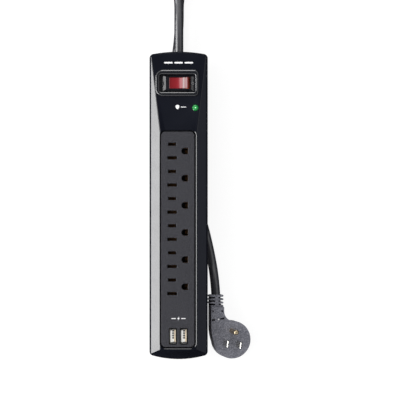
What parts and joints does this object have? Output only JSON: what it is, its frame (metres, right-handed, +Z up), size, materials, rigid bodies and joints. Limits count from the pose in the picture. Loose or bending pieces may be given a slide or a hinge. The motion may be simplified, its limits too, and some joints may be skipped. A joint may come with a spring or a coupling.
{
  "type": "power strip",
  "caption": "Long surge-protected power strip with grounded outlets along a sloping-edged body, an illuminated rocker switch, USB charging ports and a coiled cord with a flat plug.",
  "frame": {"origin": "centre of the body's footprint, on the surface the rubber feet stand on", "axes": "+Y along the body towards the end the cord leaves, +Z up out of the outlet face, +X to the right"},
  "size_m": [0.1218, 0.4844, 0.045],
  "materials": {
    "cover": "polished dark ABS",
    "base": "fine texture",
    "panel": "matte grained dark grey",
    "brass": "plain stamped brass",
    "tray": "moulded nylon",
    "board": "paper phenolic board",
    "nickel": "nickel plate",
    "white_plastic": "moulded nylon",
    "component_yellow": "wrapped",
    "component_blue": "epoxy coat",
    "component_dark": "sleeve",
    "green_lens": "clear green lens",
    "bezel": "polished black ABS",
    "red_lens": "translucent red polycarbonate",
    "steel": "zinc plate",
    "lamp_glass": "clear neon tube",
    "rubber_black": "matte",
    "wire_black": "PVC insulation",
    "wire_green": "PVC insulation",
    "cord_jacket": "satin PVC jacket",
    "plug_grey": "matte grained PVC"
  },
  "bodies": {
    "root": {"top_cover": "cover", "bottom_cover": "base", "outlet_panel": "panel", "hot_bus_bar": "brass", "neutral_bus_bar": "brass", "ground_bus_bar": "brass", "contact_tray": "tray", "usb_board": "board", "usb_port_shells": "nickel", "usb_tongues": "white_plastic", "usb_contacts": "brass", "usb_transformer": "component_yellow", "usb_capacitors": "component_dark", "surge_board": "board", "surge_varistors": "component_blue", "thermal_fuse": "component_dark", "filter_capacitor": "component_yellow", "status_lens": "green_lens", "status_led": "green_lens", "switch_frame": "bezel", "switch_housing": "tray", "rocker_pin": "steel", "switch_terminals": "brass", "neon_lamp": "lamp_glass", "housing_screws": "steel", "rubber_feet": "rubber_black", "cord_clamp": "white_plastic", "clamp_screws": "steel", "wire_hot": "wire_black", "wire_neutral": "white_plastic", "wire_ground": "wire_green", "cord_out": "cord_jacket", "cord_coil": "cord_jacket", "cord_return": "cord_jacket", "plug_body": "plug_grey", "plug_line_blade": "nickel", "plug_neutral_blade": "nickel", "plug_ground_pin": "brass"},
    "rocker_body": {"rocker": "red_lens", "contact_plunger": "white_plastic", "plunger_spring": "steel"},
    "seesaw_body": {"contact_seesaw": "brass"}
  },
  "joints": [
    {"name": "rocker_hinge", "type": "hinge", "parent": "root", "child": "rocker_body", "pos_m": [0.0009, 0.11447, 0.03491], "axis": [0, 0.9961, -0.0882], "range_deg": [0, 18]},
    {"name": "seesaw_hinge", "type": "hinge", "parent": "root", "child": "seesaw_body", "pos_m": [0.0009, 0.11379, 0.02724], "axis": [0, 0.9961, -0.0882], "range_deg": [-12, 0]}
  ],
  "couplings": [
    {"joint": "seesaw_hinge", "follows": "rocker_hinge", "ratio": -0.66667}
  ]
}
